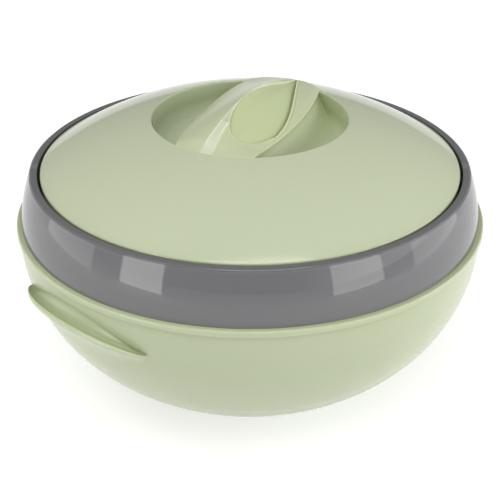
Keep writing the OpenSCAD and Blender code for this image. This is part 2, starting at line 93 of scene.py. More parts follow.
# %% Camera
CAM_AZIMUTH, CAM_ELEVATION = radians(-45.5), radians(29.61)
CAM_DISTANCE, CAM_AIM_Z = 0.662, 0.0719
LENS, PICTURE_WIDTH = 79.2, 36.0
camera_data = bpy.data.cameras.new("camera")
camera_data.lens, camera_data.sensor_width = LENS, PICTURE_WIDTH
camera = bpy.data.objects.new("camera", camera_data)
bpy.context.scene.collection.objects.link(camera)
toward = Vector((sin(CAM_AZIMUTH) * cos(CAM_ELEVATION),
                 -cos(CAM_AZIMUTH) * cos(CAM_ELEVATION), sin(CAM_ELEVATION)))
camera.location = Vector((0, 0, CAM_AIM_Z)) + CAM_DISTANCE * toward
camera.rotation_euler = (-toward).to_track_quat("-Z", "Y").to_euler()
bpy.context.scene.camera = camera
print("camera at", [round(c, 3) for c in camera.location])

# %% [markdown]
# ## Small helpers for node trees
# A material is a tree of nodes. These helpers add a node, give it its values
# and join it up, so that each material below reads like a list of its parts.

# %% Node helpers
def add_node(tree, kind, inputs=(), **settings):
    node = tree.nodes.new(kind)
    for key, value in settings.items():
        setattr(node, key, value)
    for name, value in dict(inputs).items():
        if isinstance(value, bpy.types.NodeSocket):
            tree.links.new(value, node.inputs[name])
        else:
            node.inputs[name].default_value = value
    return node


def maths(tree, operation, a, b=0.0, clamp=False):
    node = tree.nodes.new("ShaderNodeMath")
    node.operation, node.use_clamp = operation, clamp
    for socket, value in zip(node.inputs, (a, b)):
        if isinstance(value, bpy.types.NodeSocket):
            tree.links.new(value, socket)
        else:
            socket.default_value = value
    return node.outputs[0]


def noise(tree, place, scale, detail):
    inputs = {"Vector": place, "Scale": scale, "Detail": detail}
    return add_node(tree, "ShaderNodeTexNoise", inputs).outputs["Fac"]


def swing(tree, value, amount):
    """A value between 0 and 1, turned into a swing round zero."""
    return maths(tree, "MULTIPLY", maths(tree, "SUBTRACT", value, 0.5), amount)


def blended(tree, share, first, second):
    inputs = {"Factor": share, "A": first, "B": second}
    return add_node(tree, "ShaderNodeMix", inputs, data_type="RGBA").outputs["Result"]


def new_group(name, inputs, outputs):
    tree = bpy.data.node_groups.new(name, "ShaderNodeTree")
    for socket, kind, value in inputs:
        made = tree.interface.new_socket(name=socket, in_out="INPUT", socket_type=kind)
        made.default_value = value
    for socket, kind in outputs:
        tree.interface.new_socket(name=socket, in_out="OUTPUT", socket_type=kind)
    return tree, tree.nodes.new("NodeGroupInput"), tree.nodes.new("NodeGroupOutput")


def new_material(name):
    material = bpy.data.materials.new(name)
    material.use_nodes = True
    tree = material.node_tree
    return material, tree, tree.nodes["Principled BSDF"]


COLOR, VALUE, NORMAL = "NodeSocketColor", "NodeSocketFloat", "NodeSocketVector"
MID_GREY, WHITE = (0.5, 0.5, 0.5, 1), (1, 1, 1, 1)
print("helpers ready")

# %% [markdown]
# ## Moulded plastic, as a shared group
# Plastic from a mould isn't one flat colour. Its tone drifts a little over a
# hand's width, because the melt doesn't mix perfectly. Its skin carries a very
# fine grain from the mould, and its gloss changes where it has been handled.
# All of the plastics share this, so it is a node group with named inputs.

# %% Group: moulded skin
DRIFT_SCALE, HANDLED_SCALE, GRAIN_DEPTH = 9.0, 34.0, 0.0001
moulded, g_in, g_out = new_group(
    "moulded skin",
    [("Color", COLOR, MID_GREY), ("Drift", VALUE, 0.04), ("Roughness", VALUE, 0.35),
     ("Handling", VALUE, 0.06), ("Grain size", VALUE, 1600.0), ("Grain depth", VALUE, 0.02)],
    [("Color", COLOR), ("Roughness", VALUE), ("Normal", NORMAL)],
)
given = g_in.outputs
place = add_node(moulded, "ShaderNodeTexCoord").outputs["Object"]
drift = swing(moulded, noise(moulded, place, DRIFT_SCALE, 3.0), given["Drift"])
rubbed = swing(moulded, noise(moulded, place, HANDLED_SCALE, 5.0), given["Handling"])
gain = maths(moulded, "ADD", maths(moulded, "MULTIPLY", drift, 2.0), 1.0)
toned = add_node(moulded, "ShaderNodeVectorMath",
                 {0: given["Color"], "Scale": gain}, operation="SCALE")
grain = noise(moulded, place, given["Grain size"], 2.0)
height = maths(moulded, "MULTIPLY", grain, given["Grain depth"])
bump = add_node(moulded, "ShaderNodeBump",
                {"Strength": 0.35, "Distance": GRAIN_DEPTH, "Height": height})
gloss = maths(moulded, "ADD", given["Roughness"], rubbed, True)
moulded.links.new(toned.outputs["Vector"], g_out.inputs["Color"])
moulded.links.new(gloss, g_out.inputs["Roughness"])
moulded.links.new(bump.outputs["Normal"], g_out.inputs["Normal"])
print("group made:", moulded.name)

# %% [markdown]
# ## Painted shade in the corners and painted light on thin edges, as a shared group
# In a hollow the light bounces from plastic to plastic and takes on its colour
# again each time. This group paints that shade into the colour: ambient
# occlusion finds the hollows, and there the group multiplies the colour by
# itself. Thin raised edges get painted light instead: pointiness finds those,
# and the group makes them a little paler, as a painted highlight.

# %% Group: painted corner shade and edge light
EDGE_LOW, EDGE_HIGH = 0.505, 0.56
corner, c_in, c_out = new_group(
    "painted corner shade and edge light",
    [("Color", COLOR, MID_GREY), ("Reach", VALUE, 0.006),
     ("Amount", VALUE, 0.6), ("Painted edge light", VALUE, 0.1)],
    [("Color", COLOR)],
)
given = c_in.outputs
# Painted shade: where ambient occlusion finds a hollow, the colour is multiplied by itself.
light = add_node(corner, "ShaderNodeAmbientOcclusion", {"Distance": given["Reach"]}, samples=6)
hollow = maths(corner, "SUBTRACT", 1.0, light.outputs["AO"])
shade = maths(corner, "MULTIPLY", hollow, given["Amount"], True)
painted_shade_tint = blended(corner, shade, WHITE, given["Color"])
# Painted highlight: where pointiness finds a thin edge, the colour is made paler.
edges = add_node(corner, "ShaderNodeMapRange",
                 {"Value": add_node(corner, "ShaderNodeNewGeometry").outputs["Pointiness"],
                  "From Min": EDGE_LOW, "From Max": EDGE_HIGH}).outputs["Result"]
edge_light_gain = maths(corner, "ADD", 1.0, maths(corner, "MULTIPLY", edges, given["Painted edge light"]))
product = add_node(corner, "ShaderNodeVectorMath",
                   {0: given["Color"], 1: painted_shade_tint}, operation="MULTIPLY")
shaded = add_node(corner, "ShaderNodeVectorMath",
                  {0: product.outputs["Vector"], "Scale": edge_light_gain}, operation="SCALE")
corner.links.new(shaded.outputs["Vector"], c_out.inputs["Color"])
print("group made:", corner.name)

# %% [markdown]
# ## The plastics
# Each plastic is a Principled shader fed by the moulded skin, and the corner
# group paints shade into its hollows and light onto its thin edges. Colours are
# written as they look on screen and turned into the linear values that the
# shader needs. The handle gets a painted highlight, a paler green, on its crest
# and its strip, where its mesh marks them.

# %% Plastic materials
def linear(*color):
    shares = [c / 255 for c in color]
    return tuple(c / 12.92 if c < 0.0404 else ((c + 0.055) / 1.055) ** 2.4 for c in shares) + (1.0,)


def plastic(name, color, roughness, drift=0.03, handling=0.06, grain=1600.0, depth=0.3,
            painted_shade=0.3, reach=0.005, painted_edge_light=0.0, highlight_color=None):
    material, tree, shader = new_material(name)
    skin = add_node(tree, "ShaderNodeGroup",
                    {"Color": linear(*color), "Drift": drift, "Roughness": roughness,
                     "Handling": handling, "Grain size": grain, "Grain depth": depth},
                    node_tree=moulded).outputs
    # Painted shade in the hollows and a painted highlight on thin edges go into the colour here.
    tint = add_node(tree, "ShaderNodeGroup",
                    {"Color": skin["Color"], "Amount": painted_shade, "Reach": reach, "Painted edge light": painted_edge_light},
                    node_tree=corner).outputs["Color"]
    # Painted highlight: a paler green where the mesh marks the handle's crest and glossy strip.
    if highlight_color:
        highlight_mask = add_node(tree, "ShaderNodeAttribute", attribute_name="painted_highlight").outputs["Fac"]
        tint = blended(tree, highlight_mask, tint, linear(*highlight_color))
    tree.links.new(tint, shader.inputs["Base Color"])
    tree.links.new(skin["Roughness"], shader.inputs["Roughness"])
    tree.links.new(skin["Normal"], shader.inputs["Normal"])
    return material


BODY_GREEN, LID_GREEN, HANDLE_GREEN = (198, 207, 172), (206, 214, 183), (207, 216, 178)
PANEL_GREEN, PAINTED_HIGHLIGHT_GREEN = (206, 217, 169), (234, 239, 220)
COLLAR_GREY, FOOT_GREY = (117, 117, 119), (92, 94, 94)
LINER_WHITE, SEAL_WHITE = (226, 226, 220), (224, 224, 218)
# Each plastic gets painted shade in its hollows, and some a painted highlight on their thin edges,
# such as the collar's bevel.
green_body = plastic("green_bowl_plastic", BODY_GREEN, 0.24, painted_shade=1.0, reach=0.016, painted_edge_light=0.12)
green_lid = plastic("green_lid_plastic", LID_GREEN, 0.08, painted_shade=1.0, reach=0.018)
green_handle = plastic("green_handle_plastic", HANDLE_GREEN, 0.22, painted_shade=0.55, reach=0.012,
                       painted_edge_light=0.28, highlight_color=PAINTED_HIGHLIGHT_GREEN)
green_panel = plastic("green_panel_plastic", PANEL_GREEN, 0.30, painted_shade=0.5, painted_edge_light=0.08)
grey_gloss = plastic("grey_collar_gloss", COLLAR_GREY, 0.05, drift=0.02, handling=0.04,
                     grain=900.0, depth=0.08, painted_edge_light=0.3)
white_plastic = plastic("white_plastic", LINER_WHITE, 0.38)
soft_seal = plastic("soft_seal", SEAL_WHITE, 0.55, handling=0.1, depth=0.5)
soft_foot = plastic("soft_foot", FOOT_GREY, 0.62, handling=0.1, depth=0.9)
plastics = (green_body, green_lid, green_handle, green_panel, grey_gloss, white_plastic,
            soft_seal, soft_foot)
print("plastics:", [m.name for m in plastics])

# %% [markdown]
# ## Spun steel and foam
# The food bowl is spun steel: fine rings run round its axis. The rings follow
# the distance from the axis, so they come from object coordinates. The foam
# between the walls is never seen, but it still gets its bubbles.

# %% Steel and foam materials
RING_SCALE, RING_DEPTH, BUBBLE_SCALE, BUBBLE_DEPTH = 2600.0, 0.00005, 700.0, 0.0004


def spun_steel(name):
    material, tree, shader = new_material(name)
    place = add_node(tree, "ShaderNodeTexCoord").outputs["Object"]
    parts = add_node(tree, "ShaderNodeSeparateXYZ", {"Vector": place}).outputs
    squares = [maths(tree, "POWER", parts[axis], 2.0) for axis in "XY"]
    radius = maths(tree, "SQRT", maths(tree, "ADD", *squares))
    across = add_node(tree, "ShaderNodeCombineXYZ", {"X": radius, "Y": parts["Z"]})
    rings = noise(tree, across.outputs["Vector"], RING_SCALE, 3.0)
    gloss = maths(tree, "ADD", maths(tree, "MULTIPLY", rings, 0.16), 0.18)
    tree.links.new(gloss, shader.inputs["Roughness"])
    bump = add_node(tree, "ShaderNodeBump",
                    {"Strength": 0.25, "Distance": RING_DEPTH, "Height": rings})
    tree.links.new(bump.outputs["Normal"], shader.inputs["Normal"])
    shader.inputs["Base Color"].default_value = (0.60, 0.60, 0.60, 1)
    shader.inputs["Metallic"].default_value = 1.0
    return material


def bubbly_foam(name):
    material, tree, shader = new_material(name)
    place = add_node(tree, "ShaderNodeTexCoord").outputs["Object"]
    cells = add_node(tree, "ShaderNodeTexVoronoi",
                     {"Vector": place, "Scale": BUBBLE_SCALE}).outputs["Distance"]
    ramp = add_node(tree, "ShaderNodeValToRGB", {"Fac": cells})
    ramp.color_ramp.elements[0].color = (0.80, 0.72, 0.46, 1)
    ramp.color_ramp.elements[1].color = (0.90, 0.84, 0.62, 1)
    tree.links.new(ramp.outputs["Color"], shader.inputs["Base Color"])
    bump = add_node(tree, "ShaderNodeBump",
                    {"Strength": 0.5, "Distance": BUBBLE_DEPTH, "Height": cells})
    tree.links.new(bump.outputs["Normal"], shader.inputs["Normal"])
    shader.inputs["Roughness"].default_value = 0.85
    return material


steel = spun_steel("spun_steel")
foam = bubbly_foam("rigid_foam")
print("materials:", len(bpy.data.materials))

# %% [markdown]
# ## From points to pieces
# A finished piece's object stays at the origin and its place is in its mesh.
# The helper writes the mesh, joins doubled points, drops loose edges, turns
# the faces outwards, marks the crisp edges, hangs the piece on its body and
# hides the solids that it stands for. A closed piece counts no open edges.

# %% Helper: finish a piece
def finish_piece(name, mesh, body, material, replaces, crease=35.0):
    mesh.name = name
    bm = bmesh.new()
    bm.from_mesh(mesh)
    bmesh.ops.remove_doubles(bm, verts=bm.verts, dist=1e-7)
    bmesh.ops.delete(bm, geom=[e for e in bm.edges if not e.link_faces], context="EDGES")
    bmesh.ops.recalc_face_normals(bm, faces=bm.faces)
    open_edges = sum(1 for e in bm.edges if not e.is_manifold)
    bm.to_mesh(mesh)
    bm.free()
    mesh.materials.clear()
    mesh.materials.append(material)
    mesh.shade_smooth()
    mesh.set_sharp_from_angle(angle=radians(crease))
    piece = bpy.data.objects.new(name, mesh)
    bpy.context.scene.collection.objects.link(piece)
    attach(piece, body)
    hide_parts(*replaces)
    print(name, len(mesh.polygons), "faces,", open_edges, "open edges")
    return piece


def mesh_of(points, faces):
    mesh = bpy.data.meshes.new("piece")
    mesh.from_pydata([tuple(c * MM for c in p) for p in points], [], faces)
    return mesh


# %% [markdown]
# ## Round pieces, turned by Geometry Nodes
# The collar, the lid and most pieces inside are round: one profile, carried
# once round the axis. That is a rule, so Geometry Nodes do it. The profile is
# a chain of edges. The tree turns it into a curve, sweeps it round a circle,
# joins the points that meet on the axis and sets the material.

# %% Geometry Nodes: turn a profile round the axis
SWEEP_R, JOIN_WITHIN = 0.05, 1e-6
turn = bpy.data.node_groups.new("turn round the axis", "GeometryNodeTree")
for socket, kind in (("Profile", "NodeSocketGeometry"), ("Circle radius", "NodeSocketFloat"),
                     ("Steps", "NodeSocketInt"), ("Join within", "NodeSocketFloat"),
                     ("Material", "NodeSocketMaterial")):
    turn.interface.new_socket(name=socket, in_out="INPUT", socket_type=kind)
turn.interface.new_socket(name="Geometry", in_out="OUTPUT", socket_type="NodeSocketGeometry")
t_in, t_out = turn.nodes.new("NodeGroupInput"), turn.nodes.new("NodeGroupOutput")
given = t_in.outputs
circle = add_node(turn, "GeometryNodeCurvePrimitiveCircle",
                  {"Resolution": given["Steps"], "Radius": given["Circle radius"]})
chain = add_node(turn, "GeometryNodeMeshToCurve", {"Mesh": given["Profile"]})
sweep = add_node(turn, "GeometryNodeCurveToMesh",
                 {"Curve": circle.outputs["Curve"], "Profile Curve": chain.outputs["Curve"]})
joined = add_node(turn, "GeometryNodeMergeByDistance",
                  {"Geometry": sweep.outputs["Mesh"], "Distance": given["Join within"]})
real = add_node(turn, "GeometryNodeRealizeInstances", {"Geometry": joined.outputs["Geometry"]})
dressed = add_node(turn, "GeometryNodeSetMaterial",
                   {"Geometry": real.outputs["Geometry"], "Material": given["Material"]})
turn.links.new(dressed.outputs["Geometry"], t_out.inputs["Geometry"])
print("tree made:", turn.name)


def turned(name, profile, body, material, replaces, steps, crease=35.0):
    points = [(r * MM - SWEEP_R, -z * MM, 0) for r, z in profile]
    ring = bpy.data.meshes.new(name + "_profile")
    ring.from_pydata(points, [(i, (i + 1) % len(points)) for i in range(len(points))], [])
    draft = bpy.data.objects.new(name + "_draft", ring)
    bpy.context.scene.collection.objects.link(draft)
    modifier = draft.modifiers.new("turn", "NODES")
    modifier.node_group = turn
    values = {"Circle radius": SWEEP_R, "Steps": steps, "Join within": JOIN_WITHIN,
              "Material": material}
    for item in turn.interface.items_tree:
        if item.in_out == "INPUT" and item.name in values:
            modifier[item.identifier] = values[item.name]
    final = draft.evaluated_get(bpy.context.evaluated_depsgraph_get())
    mesh = bpy.data.meshes.new_from_object(final)
    draft.modifiers.remove(modifier)
    bpy.data.objects.remove(draft)
    return finish_piece(name, mesh, body, material, replaces, crease)


# %% Helpers: the curves of a profile
def curve_r(r, depth, power, drop):
    """The bowl's side: its radius at a drop below the rim."""
    return r * sqrt(max(1 - min(max(drop / depth, 0.0), 1.0) ** power, 0.0))


def curve_points(r, depth, start, end, top, steps=60):
    drops = [start + (end - start) * i / steps for i in range(steps + 1)]
    return [(curve_r(r, depth, SIDE_POWER, d), top - d) for d in drops]


def arc(cx, cz, r, start, end, steps=8):
    angles = [radians(start + (end - start) * i / steps) for i in range(steps + 1)]
    return [(cx + r * cos(a), cz + r * sin(a)) for a in angles]


print("side radius at 80 mm drop: %.1f mm" % curve_r(SIDE_R, SIDE_DEPTH, SIDE_POWER, 80.0))

# %% [markdown]
# ## Collar
# The grey collar leans in towards its top and swells a little on the way. A
# fine bevel on both top edges catches the light, which is what makes a glossy
# ring look crisp. Inside it drops to the seat that carries the lid, and below
# the rim its spigot ends in a barb that snaps into the bowl's mouth.

# %% Collar
COLLAR_H, COLLAR_SWELL, COLLAR_WALL, SEAT_T, SEAT_FALL = 28.7, 1.3, 2.2, 2.2, 0.4
BEVEL_OUT, BEVEL_IN, COLLAR_STEPS = 1.0, 0.5, 40
SPIGOT_IN, SPIGOT_OUT, SPIGOT_LOW, BARB_R = 126.2, 128.4, 96.0, 129.3
COLLAR_IN = THROAT_R + COLLAR_WALL


def collar_side(z):
    t = (z - RIM_H) / COLLAR_H
    lean = (COLLAR_TOP_R - COLLAR_FOOT_R) * t
    return COLLAR_FOOT_R + lean + COLLAR_SWELL * 4 * t * (1 - t)


collar_profile = (
    [(collar_side(z), z) for z in np.linspace(RIM_H, COLLAR_TOP - 0.8, COLLAR_STEPS)]
    + arc(COLLAR_TOP_R - 0.95, COLLAR_TOP - BEVEL_OUT, BEVEL_OUT, 18, 90)
    + arc(THROAT_R + BEVEL_IN, COLLAR_TOP - BEVEL_IN, BEVEL_IN, 90, 180)
    + [(THROAT_R, SEAT_Z + SEAT_FALL), (SEAT_IN_R, SEAT_Z), (SEAT_IN_R, SEAT_Z - SEAT_T),
       (COLLAR_IN, SEAT_Z - SEAT_T), (COLLAR_IN, 122.9)]
    + [(max(collar_side(z) - COLLAR_WALL, COLLAR_IN), z) for z in np.linspace(125.1, 110.0, 12)]
    + [(SPIGOT_IN, 105.2), (SPIGOT_IN, SPIGOT_LOW), (SPIGOT_OUT, SPIGOT_LOW), (BARB_R, 100.2),
       (BARB_R, 100.4), (SPIGOT_OUT, 100.4), (SPIGOT_OUT, RIM_H)]
)
turned("collar", collar_profile, "bowl", grey_gloss, ["collar_ring"], 360, 30.0)

# %% [markdown]
# ## Lid cover
# The cover is a cap of a large sphere, 225 mm in radius, with a softly rounded
# edge that drops into the collar. In its middle is the round well for the
# fingers, with a small lip at the top of its wall and a rounding at the foot.

# %% Lid cover
EDGE_ROUND, WELL_LIP, WELL_FOOT, WELL_DRAFT, CORNER = 1.6, 1.1, 8.0, 1.0, 4.0
SKIRT_Z = SEAT_Z + 3.0


def dome(r, inset=0.0):
    return DOME_Z + sqrt((DOME_R - inset) ** 2 - r * r)


slope = asin(LID_R / DOME_R)
edge_r = LID_R - EDGE_ROUND
edge_on = edge_r + EDGE_ROUND * sin(slope)
edge_z = dome(edge_on) - EDGE_ROUND * cos(slope)
low_r, lip_r, under_z = WELL_R - WELL_DRAFT, WELL_R + WELL_LIP, FLOOR_Z - LID_WALL
lid_profile = (
    [(0, FLOOR_Z)]
    + arc(low_r - WELL_FOOT, FLOOR_Z + WELL_FOOT, WELL_FOOT, -90, 0, 14)
    + arc(lip_r, dome(lip_r, WELL_LIP), WELL_LIP, 180, 76)
    + [(r, dome(r)) for r in np.linspace(WELL_R + 1.8, edge_on, 60)]
    + arc(edge_r, edge_z, EDGE_ROUND, 90 - degrees(slope), 0)
    + [(LID_R, SKIRT_Z), (LID_R - LID_WALL, SKIRT_Z)]
    + [(r, dome(r, LID_WALL)) for r in np.linspace(LID_R - LID_WALL, WELL_R + LID_WALL, 40)]
    + [(low_r + LID_WALL, FLOOR_Z + CORNER), (low_r - CORNER + LID_WALL, under_z), (0, under_z)]
)
turned("lid_dome", lid_profile, "lid", green_lid, ["lid_cover"], 360)

# %% [markdown]
# ## Pieces that show when the lid is off
# The steel food bowl, the liner under the lid with its soft seal, the base
# plate and the soft ring in the foot are turned in the same way.

# %% Food bowl
BRIM_Z, BRIM_R, BRIM_ROUND = 110.1, 118.4, 1.2
FOOD_R, FOOD_DEPTH, FOOD_CURVE, STEEL_T = 111.0, 86.0, 95.0, 0.8
food_profile = (
    [(0, BRIM_Z - FOOD_DEPTH)]
    + curve_points(FOOD_R, FOOD_CURVE, FOOD_DEPTH, BRIM_ROUND, BRIM_Z)
    + arc(FOOD_R + BRIM_ROUND, BRIM_Z - BRIM_ROUND, BRIM_ROUND, 180, 90, 6)
    + [(BRIM_R, BRIM_Z), (BRIM_R, BRIM_Z - STEEL_T)]
    + curve_points(FOOD_R + STEEL_T, FOOD_CURVE + STEEL_T, STEEL_T, FOOD_DEPTH + STEEL_T, BRIM_Z)
    + [(0, BRIM_Z - FOOD_DEPTH - STEEL_T)]
)
turned("steel_bowl", food_profile, "bowl", steel, ["food_bowl"], 288)

# %% Liner, seal, base and foot ring
PLUG_R, LINER_Z, LINER_T, LINER_HOLE, FLANGE_R, FLANGE_Z = 107.4, 105.3, 1.6, 9.0, 116.8, 117.0
BASE_R, BASE_LOW, BASE_TOP = 61.3, 2.0, 4.0
liner_in, liner_top, flange_top = PLUG_R - LINER_T, LINER_Z + LINER_T, FLANGE_Z + LINER_T
liner_profile = (
    [(LINER_HOLE, LINER_Z)] + arc(liner_in, liner_top, LINER_T, -90, 0, 6)
    + [(PLUG_R, FLANGE_Z), (FLANGE_R, FLANGE_Z), (FLANGE_R, flange_top), (liner_in, flange_top),
       (liner_in, liner_top), (LINER_HOLE, liner_top)]
)
seal_profile = [(107.6, 117.0), (107.6, 115.4), (112.8, 113.8), (113.9, 113.8), (114.7, 114.87),
                (115.5, 113.8), (116.6, 113.8), (116.6, 117.0)]
base_profile = [(0, BASE_LOW), (BASE_R - 0.3, BASE_LOW), (BASE_R, BASE_LOW + 0.3),
                (BASE_R, BASE_TOP), (0, BASE_TOP)]
pad_profile = [(PAD_IN, PAD_T), (PAD_IN, 0.5), (PAD_IN + 0.5, 0.0), (PAD_OUT - 0.5, 0.0),
               (PAD_OUT, 0.5), (PAD_OUT, PAD_T)]
turned("lid_underside", liner_profile, "lid", white_plastic, ["lid_liner"], 240)
turned("soft_lid_seal", seal_profile, "lid", soft_seal, ["lid_seal"], 240)
turned("base_disc", base_profile, "bowl", green_body, ["base_plate"], 180)
turned("soft_foot_ring", pad_profile, "bowl", soft_foot, ["foot_ring"], 180)

# %% [markdown]
# ## Outer bowl with its side grips
# The grips are moulded in one with the side, so they aren't stuck on: each is
# a crescent shelf that grows out of the wall. The bowl is lofted. At each
# angle round the axis there is one profile from the foot to the rim, and near
# a grip that profile is drawn out: it dips behind the shelf's face, rounds the
# lip and runs back under it.

# %% Grip measures at an angle from its middle
GRIP_HALF, ROOT_HALF, REACH = radians(21.5), radians(19.8), 8.6
LIP_DROP, LIP_RISE, ROOT_DROP, ROOT_RISE, ROOT_GAP = 22.5, 7.5, 22.0, 13.5, 0.4
LIP_THIN, LIP_SWELL, UNDER_MIN, UNDER_DROP = 0.25, 1.55, 2.0, 21.0
CREASE, SCOOP_BACK, SCOOP_FRONT = Vector((-1.1, -0.3)), Vector((0.2, -6.5)), Vector((-3.5, -4.0))
LIP_AWAY = Vector((-0.80, -0.60))
SIDE_END = 4.45


def side_at(z):
    return curve_r(SIDE_R, SIDE_DEPTH, SIDE_POWER, RIM_H - z)


def on_side(z):
    return Vector((side_at(z), z))


def bezier(a, b, c, d, w):
    return (1 - w) ** 3 * a + 3 * (1 - w) ** 2 * w * b + 3 * (1 - w) * w * w * c + w**3 * d


def grip_profile(angle):
    t, s = min(abs(angle) / GRIP_HALF, 1.0), min(abs(angle) / ROOT_HALF, 1.0)
    swell = sqrt(1 - t * t)
    lip_z = RIM_H - LIP_DROP + LIP_RISE * (1 - t * t)
    root_z = max(RIM_H - ROOT_DROP + ROOT_RISE * (1 - s * s), lip_z + ROOT_GAP)
    rho = LIP_THIN + LIP_SWELL * swell
    under_z = lip_z - 2 * rho - UNDER_MIN - UNDER_DROP * swell
    cx, cz = side_at(lip_z - rho) + REACH * swell - rho * swell, lip_z - rho
    turns = [radians(a) for a in range(80, -71, -15)]
    lip = [Vector((cx + rho * swell * cos(a), cz + rho * sin(a))) for a in turns]
    top = on_side(root_z)
    back = top + CREASE * swell
    away, over = back + SCOOP_BACK * swell, lip[0] + SCOOP_FRONT * swell
    shelf = [top] + [bezier(back, away, over, lip[0], k / 12) for k in range(13)]
    end = on_side(under_z)
    along = Vector((side_at(under_z + 1) - end.x, 1.0)).normalized()
    span = (lip[-1] - end).length
    a1, a2 = lip[-1] + LIP_AWAY * span * 0.38, end + along * span * 0.34
    if swell == 0:
        a1, a2 = lip[-1].lerp(end, 0.33), lip[-1].lerp(end, 0.67)
    under = [bezier(lip[-1], a1, a2, end, k / 18) for k in range(1, 19)]
    under = [Vector((max(p.x, side_at(p.y)), p.y)) for p in under]
    above = [on_side(z) for z in np.linspace(RIM_H - RIM_BAND, root_z, 12)[:-1]]
    below = [on_side(z) for z in np.linspace(under_z, SIDE_END, 42)[1:]]
    return above + shelf + lip[1:] + under + below


print("points down the side:", len(grip_profile(0.0)), "grip reach: %.1f mm" % REACH)

# %% Outer bowl
FINE_HALF, FINE_STEPS, PLAIN_STEPS = radians(24.0), 120, 72


def angle_steps():
    near = list(np.linspace(-FINE_HALF, FINE_HALF, FINE_STEPS + 1))[:-1]
    far = list(np.linspace(FINE_HALF, pi - FINE_HALF, PLAIN_STEPS + 1))[:-1]
    return [side + x for side in (0, pi) for x in near + far]


band_z, foot_in_r = RIM_H - RIM_BAND + BAND_ROUND, FOOT_R - FOOT_W
rim_down = (arc(RIM_R - RIM_ROUND, RIM_H - RIM_ROUND, RIM_ROUND, 90, 0, 6)
            + arc(RIM_R - BAND_ROUND, band_z, BAND_ROUND, 0, -90, 4))
foot_in = [(FOOT_R, 4.3), (FOOT_R, PAD_PROUD + FOOT_BEVEL), (FOOT_R - FOOT_BEVEL, PAD_PROUD),
           (PAD_OUT, PAD_PROUD), (PAD_OUT, PAD_T), (PAD_IN, PAD_T), (PAD_IN, PAD_PROUD),
           (foot_in_r, PAD_PROUD), (foot_in_r, FOOT_H), (HOLE_R, FOOT_H), (HOLE_R, FOOT_H + WALL)]
inner = curve_points(SIDE_R - WALL, SIDE_DEPTH - WALL, RIM_H - FOOT_H - WALL, WALL, RIM_H, 40)
mouth = [(MOUTH_R, RIM_H - WALL), (MOUTH_R, RIM_H)]
angles = angle_steps()
rows = []
for angle in angles:
    from_grip = (angle + pi / 2) % pi - pi / 2
    rows.append(rim_down + [tuple(p) for p in grip_profile(from_grip)] + foot_in + inner + mouth)
count, turns = len(rows[0]), len(rows)
bowl_points = [(r * cos(a), r * sin(a), z) for a, row in zip(angles, rows) for r, z in row]
bowl_faces = []
for i in range(turns):
    here, beside = i * count, (i + 1) % turns * count
    for j in range(count):
        k = (j + 1) % count
        bowl_faces.append((here + j, here + k, beside + k, beside + j))
finish_piece("bowl_body", mesh_of(bowl_points, bowl_faces), "bowl", green_body,
             ["outer_bowl"], 38.0)

# %% [markdown]
# ## Handle
# The handle bridges the well. Its crest is a shallow arch that runs a little
# askew, a narrow flat band lies beside it, and both flanks fall to the rim's
# level. A leaf-shaped panel is let into the wider flank. The plain flank is
# slimmer in front and steps in behind a small notch. The shape is a height for
# each place u along and v across the handle, so it is made as a fine grid.

# %% Handle: heights of the ridge
CREST_L, CREST_H, SKEW, BACK_RISE = 114.0, 13.9, tan(radians(5.5)), 2.0
MID_W, END_W, BAND_W, BAND_FALL, SWELL = 57.8, 45.0, 4.6, 0.6, 0.8
NOTCH_AT, NOTCH_STEP, FRONT_SLIM = -13.0, 1.3, 2.3
PANEL_L, PANEL_W, PANEL_AT, PANEL_SIDE, PANEL_T, PANEL_SINK = 92.0, 25.4, 42.0, 11.2, 1.2, 0.5
FRONT_R, BACK_R = WELL_R + 2.2, WELL_R + 2.0


def smooth(x):
    """Rises softly from 0 to 1 while x goes from 0 to 1."""
    x = np.clip(x, 0, 1)
    return x * x * (3 - 2 * x)


def bump_at(x, width):
    """A soft ridge, 1 at its middle and gone at about twice its width."""
    return np.exp(-((x / width) ** 2))


def crest_z(u):
    return CREST_H * (1 - (2 * u / CREST_L) ** 2) + BACK_RISE * smooth((u - 34) / 20)


def right_w(u):
    """Half width of the side with the leaf."""
    return MID_W / 2 - (MID_W - END_W) / 2 * (u / WELL_R) ** 2


def plain_w(u):
    """Half width of the plain side, slimmer in front, without its notch."""
    return right_w(u) - FRONT_SLIM * smooth((38 - u) / 48)


def left_w(u):
    """The plain side steps in behind the notch."""
    return plain_w(u) - NOTCH_STEP * smooth((u - NOTCH_AT) / 1.6)


def panel_z(u, v):
    c, w = u * SKEW, right_w(u)
    return crest_z(u) * (w - v) / (w - c) - PANEL_SINK


def leaf_half(x):
    return PANEL_W / 2 * 2.88 * x**0.5 * (1 - x) ** 1.3


def leaf_middle(u):
    return PANEL_SIDE - 0.04 * u


def leaf_edge(u, v):
    """How far inside the leaf's outline a place lies, in mm, negative outside."""
    x = np.clip((u + PANEL_AT) / PANEL_L, 1e-4, 1 - 1e-4)
    side = leaf_half(x) - np.abs(v - leaf_middle(u))
    return np.minimum(side, np.minimum(u + PANEL_AT, PANEL_L - PANEL_AT - u))


def open_side(u, v):
    """1 on the leaf's outer side, where its groove is open, and 0 by the crest."""
    return smooth((v - leaf_middle(u) + 1) / 6) * smooth((u + 40) / 14)


print("crest %.1f mm over the well's rim" % crest_z(0.0))

# %% [markdown]
# The front end of the crest carries a raised glossy strip with fine edges. The
# leaf lies in a pocket, with a bead and then a groove beside it on its outer
# side. Each of them is added to the height of the flanks.

# %% Handle: flanks, band, strip, bead and pocket
STRIP_AT, STRIP_W, STRIP_FLARE, STRIP_PROUD, STRIP_EDGE = -33.0, 4.7, 2.3, 0.75, 0.26
CREST_BEAD, LEAF_BEAD, LEAF_GROOVE, POCKET_MORE = 0.10, 0.38, 0.5, 0.2


